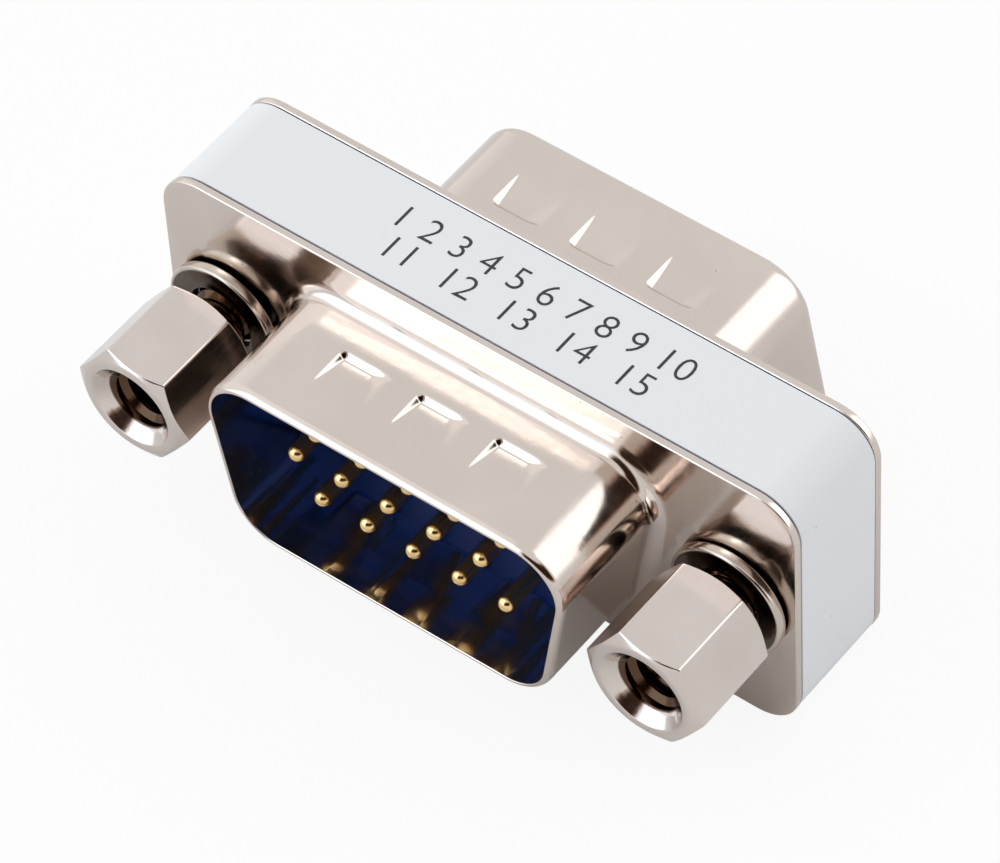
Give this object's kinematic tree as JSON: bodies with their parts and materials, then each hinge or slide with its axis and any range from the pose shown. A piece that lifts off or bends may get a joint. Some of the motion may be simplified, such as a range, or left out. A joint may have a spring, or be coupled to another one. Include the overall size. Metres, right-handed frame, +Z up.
{
  "type": "d-sub gender changer",
  "caption": "Slim back-to-back high-density D-sub plug adapter with drawn metal shells, pin fields, a plain white band and hex jack standoffs on its front side.",
  "frame": {"origin": "middle of the underside of the whole object's bounding box, midway between the left standoff's front face and the rear shell's mouth", "axes": "+X along the plates' long side, to the right as seen from the front; the front connector and the standoffs face -Y, the rear connector +Y; +Z up"},
  "size_m": [0.031, 0.018, 0.0132],
  "materials": {
    "nickel_plate": "bright nickel plate on drawn steel sheet, faintly pitted",
    "turned_nickel": "nickel plate on turned bar, fine tool marks",
    "spring_steel": "plated spring steel",
    "brass": "plain turned brass, hidden",
    "gold_plate": "thin gold plate over copper alloy",
    "blue_plastic": "dark blue moulded thermoplastic, semi-gloss",
    "label_white": "satin white film, slightly bluish",
    "board_laminate": "green laminate, hidden"
  },
  "bodies": {
    "root": {"contact_board": "board_laminate", "front_insulator": "blue_plastic", "front_pin_01": "gold_plate", "front_pin_02": "gold_plate", "front_pin_03": "gold_plate", "front_pin_04": "gold_plate", "front_pin_05": "gold_plate", "front_pin_06": "gold_plate", "front_pin_07": "gold_plate", "front_pin_08": "gold_plate", "front_pin_09": "gold_plate", "front_pin_10": "gold_plate", "front_pin_11": "gold_plate", "front_pin_12": "gold_plate", "front_pin_13": "gold_plate", "front_pin_14": "gold_plate", "front_pin_15": "gold_plate", "front_shell": "nickel_plate", "label_band": "label_white", "left_insert": "brass", "left_lock_washer": "spring_steel", "left_standoff": "turned_nickel", "rear_insulator": "blue_plastic", "rear_pin_01": "gold_plate", "rear_pin_02": "gold_plate", "rear_pin_03": "gold_plate", "rear_pin_04": "gold_plate", "rear_pin_05": "gold_plate", "rear_pin_06": "gold_plate", "rear_pin_07": "gold_plate", "rear_pin_08": "gold_plate", "rear_pin_09": "gold_plate", "rear_pin_10": "gold_plate", "rear_pin_11": "gold_plate", "rear_pin_12": "gold_plate", "rear_pin_13": "gold_plate", "rear_pin_14": "gold_plate", "rear_pin_15": "gold_plate", "rear_shell": "nickel_plate", "right_insert": "brass", "right_lock_washer": "spring_steel", "right_standoff": "turned_nickel"}
  },
  "joints": []
}
